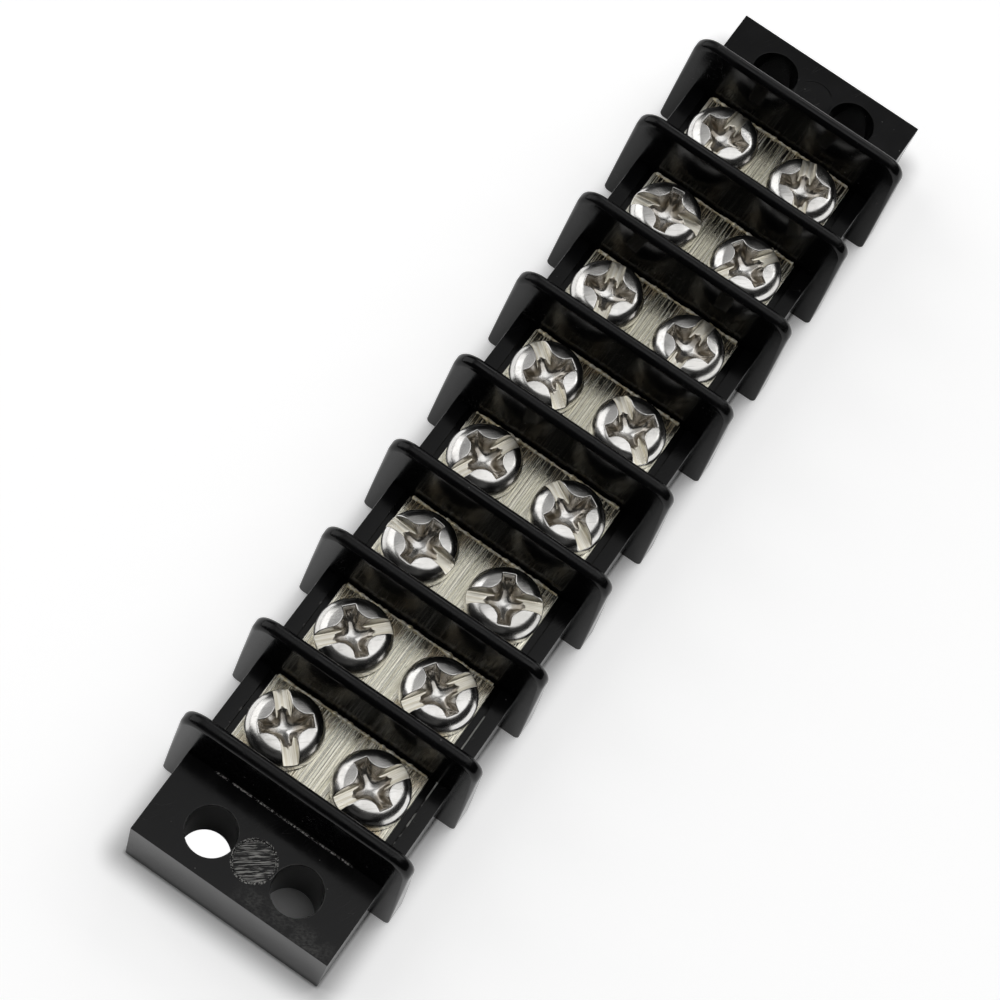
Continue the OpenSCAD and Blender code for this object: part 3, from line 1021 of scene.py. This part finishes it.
def skin(field, low, high, cell):
    """Points and quads of the surface of a field inside a box."""
    axes = [np.arange(a, b + cell, cell) for a, b in zip(low, high)]
    inside = field(np.stack(np.meshgrid(*axes, indexing="ij"), -1)) < 0
    corners = [inside[x:x - 1 or None, y:y - 1 or None, z:z - 1 or None]
               for x in (0, 1) for y in (0, 1) for z in (0, 1)]
    count = sum(c.astype(int) for c in corners)
    crossed = (count > 0) & (count < 8)
    number = np.full(crossed.shape, -1)
    number[crossed] = np.arange(crossed.sum())
    points = np.array(low) + (np.argwhere(crossed) + 0.5) * cell
    quads = []
    for axis in range(3):
        one, two = (axis + 1) % 3, (axis + 2) % 3
        first, after = np.moveaxis(inside, axis, 0)[:-1], np.moveaxis(inside, axis, 0)[1:]
        at = np.argwhere(np.moveaxis(first != after, 0, axis))
        out = np.moveaxis(first, 0, axis)[tuple(at.T)]
        ring = []
        for d1, d2 in ((-1, -1), (0, -1), (0, 0), (-1, 0)):
            near = at.copy()
            near[:, one] += d1
            near[:, two] += d2
            ring.append(number[tuple(near.T)])
        ring = np.array(ring).T
        quads.append(np.where(out[:, None], ring, ring[:, ::-1]))
    return settle(field, points), np.concatenate(quads)


SKIN_LOW, SKIN_HIGH, CELL = (-3.4, -3.4, -0.12), (3.4, 3.4, 2.58), 0.06
points, quads = skin(head_field, SKIN_LOW, SKIN_HIGH, CELL)
print("skin:", len(points), "points", len(quads), "quads")

# %% [markdown]
# The even cells spend as many faces on the flat crown as on the tight edges. A Decimate modifier
# thins them where the surface is flat. The points that stay are settled once more, and keep their
# true normal and two masks for the finish: how deep the surface lies in the drive, and whether it
# is part of the slot.

# %% Head mesh
HEAD_SHARE = 0.22
LESS_SHADE_R, LESS_SHADE_SHARE = 0.55, 0.25
FLOOR_NEAR, SLOT_NEAR, SLOT_ABOVE = 0.05, 0.02, 0.08


def head_mesh():
    """The struck head in metres, seated at height 0, with its slot along X."""
    mesh = bpy.data.meshes.new("head")
    mesh.from_pydata((points * MM).tolist(), [], quads.tolist())
    piece = blank("head_blank", mesh)
    thin = piece.modifiers.new("thin", "DECIMATE")
    thin.ratio = HEAD_SHARE
    piece = bake(piece, "head_thin")
    mesh = piece.data
    place = np.empty(len(mesh.vertices) * 3, np.float32)
    mesh.vertices.foreach_get("co", place)
    place = settle(head_field, place.reshape(-1, 3).astype(float) / MM, 2)
    mesh.vertices.foreach_set("co", (place * MM).astype(np.float32).ravel())
    cut, slot, floor = drive(*place.T)
    from_axis, height = np.hypot(place[:, 0], place[:, 1]), place[:, 2]
    depth = np.clip(-plain_head(from_axis, height) / CROSS_DEPTH, 0, 1)
    # the painted shade in the drive is lighter at the middle of its floor
    less_shaded_middle = (np.abs(floor) < FLOOR_NEAR) & (from_axis < LESS_SHADE_R)
    depth = np.where(less_shaded_middle, LESS_SHADE_SHARE * depth, depth)
    on_slot_floor = (np.abs(slot) < SLOT_NEAR) & (height < HEAD_H - SLOT_DEPTH + SLOT_ABOVE)
    masks = {"sunk": np.where(np.abs(cut) < EDGE_R, depth, 0), "slotted": on_slot_floor}
    for name, values in masks.items():
        kept = mesh.attributes.new(name, "FLOAT", "POINT")
        kept.data.foreach_set("value", values.astype(np.float32))
    for name, values in (("facing", slope(head_field, place)), ("local", place * MM)):
        kept = mesh.attributes.new(name, "FLOAT_VECTOR", "POINT")
        kept.data.foreach_set("vector", values.astype(np.float32).ravel())
    return piece


head = head_mesh()
print("head:", len(head.data.polygons), "faces")

# %% [markdown]
# ## Screws
# One tree makes every screw: it takes the struck head, winds a thread on the shank, turns the
# screw to where it came to rest and sets it in its hole. The thread is a flat grid wrapped into a
# tube whose radius rises and falls with the helix. The strip has sixteen screws, each on its own
# body. Known fault: the grid wraps with its faces inwards and nothing turns it over, so the shank
# and its thread are inside out. The head is not.

# %% Screw tree
screw_group, given, result = new_group(
    "terminal_screw",
    [("Head", "Object"), ("Place", "Vector"), ("Finish", "Material"),
     *floats("Turn", "Length", "Thread Width", "Thread Pitch", "Thread Depth")],
)
g = screw_group
i = given.outputs
HEAD_OVERLAP = 0.3 * MM
ROWS, AROUND, END_SHARE = 97, 33, 0.002
sheet = put(g, "GeometryNodeMeshGrid", {
    "Size X": 1.0, "Size Y": 1.0, "Vertices X": AROUND, "Vertices Y": ROWS,
})
here = split(g, put(g, "GeometryNodeInputPosition").outputs[0])
around = plus(g, here[0], 0.5)
turned = times(g, around, 2 * math.pi)
down = plus(g, here[1], 0.5)
height = minus(g, HEAD_OVERLAP, times(g, down, plus(g, i["Length"], HEAD_OVERLAP)))
phase = minus(g, maths(g, "DIVIDE", height, i["Thread Pitch"]), around)
ridge = maths(g, "PINGPONG", phase, 0.5)
outer = maths(g, "DIVIDE", i["Thread Width"], 2.0)
wavy = minus(g, outer, times(g, ridge, 2.0, i["Thread Depth"]))
tip_room = plus(g, plus(g, height, i["Length"]), minus(g, outer, i["Thread Depth"]))
radius = maths(g, "MINIMUM", wavy, tip_room)
inside_head = maths(g, "LESS_THAN", down, END_SHARE)
past_tip = maths(g, "GREATER_THAN", down, 1 - END_SHARE)
radius = times(g, radius, minus(g, 1.0, inside_head), minus(g, 1.0, past_tip))
wrap = put(g, "GeometryNodeSetPosition", {
    "Geometry": sheet.outputs["Mesh"],
    "Position": combine(g, times(g, radius, maths(g, "COSINE", turned)),
                        times(g, radius, maths(g, "SINE", turned)), height),
})
seam = welded(g, wrap.outputs[0], 0.002 * MM)
struck = put(g, "GeometryNodeObjectInfo", {"Object": i["Head"]})
rest = put(g, "GeometryNodeTransform", {
    "Geometry": joined(g, seam, struck.outputs["Geometry"]),
    "Rotation": combine(g, z=i["Turn"]), "Translation": i["Place"],
})
real = put(g, "GeometryNodeRealizeInstances", {0: rest.outputs[0]})
end_tree(g, real.outputs[0], i["Finish"], result)

# %% Make and seat the screws
def true_normals(piece, turn):
    """Shades the head by the field's normals, turned with the screw, and the shank by its own."""
    mesh = piece.data
    stored = np.empty(len(mesh.vertices) * 3, np.float32)
    mesh.attributes["facing"].data.foreach_get("vector", stored)
    stored = stored.reshape(-1, 3)
    c, t = math.cos(turn), math.sin(turn)
    facing = np.c_[stored[:, 0] * c - stored[:, 1] * t, stored[:, 0] * t + stored[:, 1] * c,
                   stored[:, 2]]
    own = np.array([v.normal[:] for v in mesh.vertices])
    known = np.linalg.norm(stored, axis=1, keepdims=True) > 0.5
    mesh.attributes.remove(mesh.attributes["facing"])
    mesh.polygons.foreach_set("use_smooth", [True] * len(mesh.polygons))
    mesh.normals_split_custom_set_from_vertices(np.where(known, facing, own).tolist())
    return piece


TURNS = {
    "left": (43, 138, 85, 157, 52, 14, 99, 175), "right": (151, 148, 117, 60, 50, 176, 148, 19),
}
THREAD_W, THREAD_PITCH, THREAD_DEPTH = 3.5 * MM, 0.794 * MM, 0.4 * MM
SHANK_L = 6.35 * MM
for side, turns in TURNS.items():
    for k, turn in enumerate(turns):
        solid_name = f"screw_{k + 1}_{side}"
        low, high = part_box(solid_name)
        seat = ((low.x + high.x) / 2, (low.y + high.y) / 2, low.z + SHANK_L)
        piece = blank(f"screw_blank_{k + 1}_{side}")
        run_tree(piece, screw_group, Head=head, Turn=math.radians(turn), Place=seat,
                 Thread_Width=THREAD_W, Thread_Pitch=THREAD_PITCH, Thread_Depth=THREAD_DEPTH,
                 Length=SHANK_L, Finish=screw_plate)
        made = true_normals(bake(piece, f"terminal_{solid_name}"), math.radians(turn))
        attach(made, solid_name)
        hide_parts(solid_name)
print("screw:", len(made.data.polygons), "faces each")
bpy.data.objects.remove(head)
